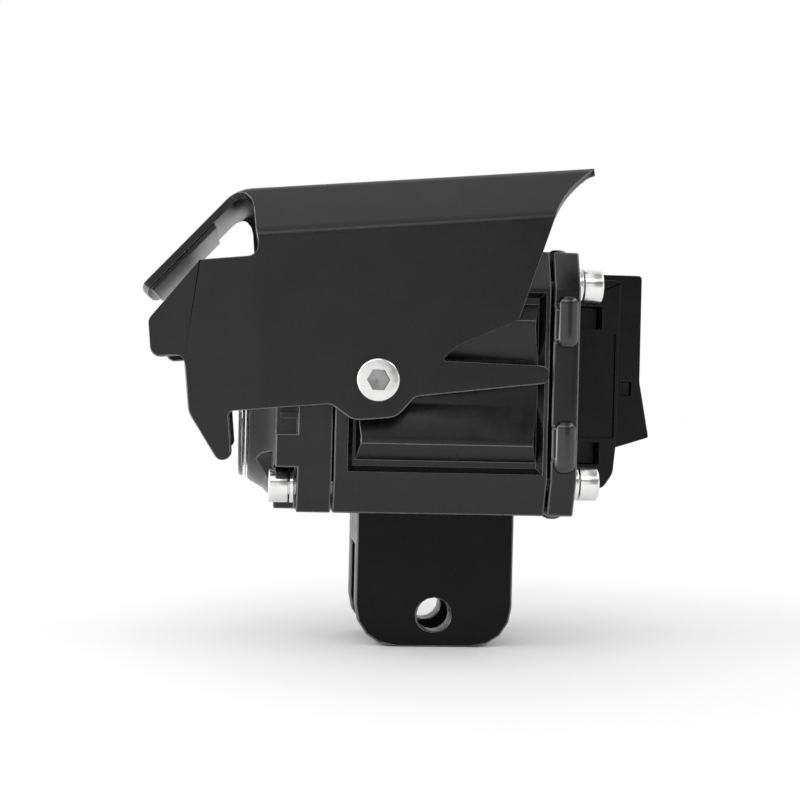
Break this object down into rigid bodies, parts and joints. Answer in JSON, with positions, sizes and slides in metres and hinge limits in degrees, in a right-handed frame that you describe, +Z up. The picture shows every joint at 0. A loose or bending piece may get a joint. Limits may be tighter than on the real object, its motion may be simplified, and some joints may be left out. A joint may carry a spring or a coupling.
{
  "type": "fog light",
  "caption": "Square-bodied LED fog light with a tilting folded sheet-metal hood, standing on a forked foot that a cross bolt holds.",
  "frame": {"origin": "centre of the cross-bolt hole, midway between the foot's two ears", "axes": "-Y the way the lamp shines, +Z up, +X towards the lamp's left side"},
  "size_m": [0.071, 0.1099, 0.102],
  "materials": {
    "black_cast": "die-cast, satin black powder coat",
    "black_coat": "folded steel sheet, satin black powder coat",
    "bright_steel": "polished stainless steel",
    "mirror": "bright vacuum-metallised reflector",
    "clear_glass": "clear tempered glass",
    "black_rubber": "matte silicone rubber",
    "black_plastic": "moulded epoxy",
    "nylon": "natural nylon",
    "grey_pad": "matte heat-conducting pad",
    "white_board": "metal-core board with white solder mask",
    "green_board": "fibreglass board with green solder mask",
    "led_yellow": "clear dome over yellow phosphor",
    "ferrite": "matte ferrite",
    "aluminium_can": "bare drawn aluminium",
    "red_wire": "red silicone insulation",
    "black_wire": "black silicone insulation"
  },
  "bodies": {
    "foot": {"mounting_foot": "black_cast", "swivel_washer": "nylon"},
    "lamp": {"foot_bolt": "bright_steel", "foot_bolt_washer": "bright_steel", "housing": "black_cast", "front_bezel": "black_cast", "lens": "clear_glass", "lens_ring": "bright_steel", "lens_gasket": "black_rubber", "bezel_gasket": "black_rubber", "reflector": "mirror", "thermal_pad": "grey_pad", "led_board": "white_board", "led_board_screw_low": "bright_steel", "led_board_screw_high": "bright_steel", "led_emitter": "led_yellow", "driver_board": "green_board", "driver_inductor": "ferrite", "driver_capacitor_large": "aluminium_can", "driver_capacitor_small": "aluminium_can", "driver_chip": "black_plastic", "driver_diode": "black_plastic", "led_lead_red": "red_wire", "led_lead_black": "black_wire", "rear_cover": "black_cast", "rear_gasket": "black_rubber", "cable_gland": "black_rubber", "hood_screw_left": "bright_steel", "hood_screw_right": "bright_steel", "hood_washer_left": "bright_steel", "hood_washer_right": "bright_steel", "bezel_screw_left_low": "bright_steel", "bezel_screw_left_high": "bright_steel", "bezel_screw_right_low": "bright_steel", "bezel_screw_right_high": "bright_steel", "bezel_washer_left_low": "bright_steel", "bezel_washer_left_high": "bright_steel", "bezel_washer_right_low": "bright_steel", "bezel_washer_right_high": "bright_steel", "rear_cover_screw_left_low": "bright_steel", "rear_cover_screw_left_high": "bright_steel", "rear_cover_screw_right_low": "bright_steel", "rear_cover_screw_right_high": "bright_steel", "rear_cover_washer_left_low": "bright_steel", "rear_cover_washer_left_high": "bright_steel", "rear_cover_washer_right_low": "bright_steel", "rear_cover_washer_right_high": "bright_steel", "driver_board_screw_left_low": "bright_steel", "driver_board_screw_left_high": "bright_steel", "driver_board_screw_right_low": "bright_steel", "driver_board_screw_right_high": "bright_steel"},
    "hood_body": {"hood": "black_coat"}
  },
  "joints": [
    {"name": "lamp_swivel", "type": "hinge", "parent": "foot", "child": "lamp", "pos_m": [0, 0, 0.02265], "axis": [0, 0, 1], "range_deg": [-180, 180]},
    {"name": "hood_tilt", "type": "hinge", "parent": "lamp", "child": "hood_body", "pos_m": [0, -0.0153, 0.0498], "axis": [1, 0, 0], "range_deg": [-15, 20]}
  ]
}
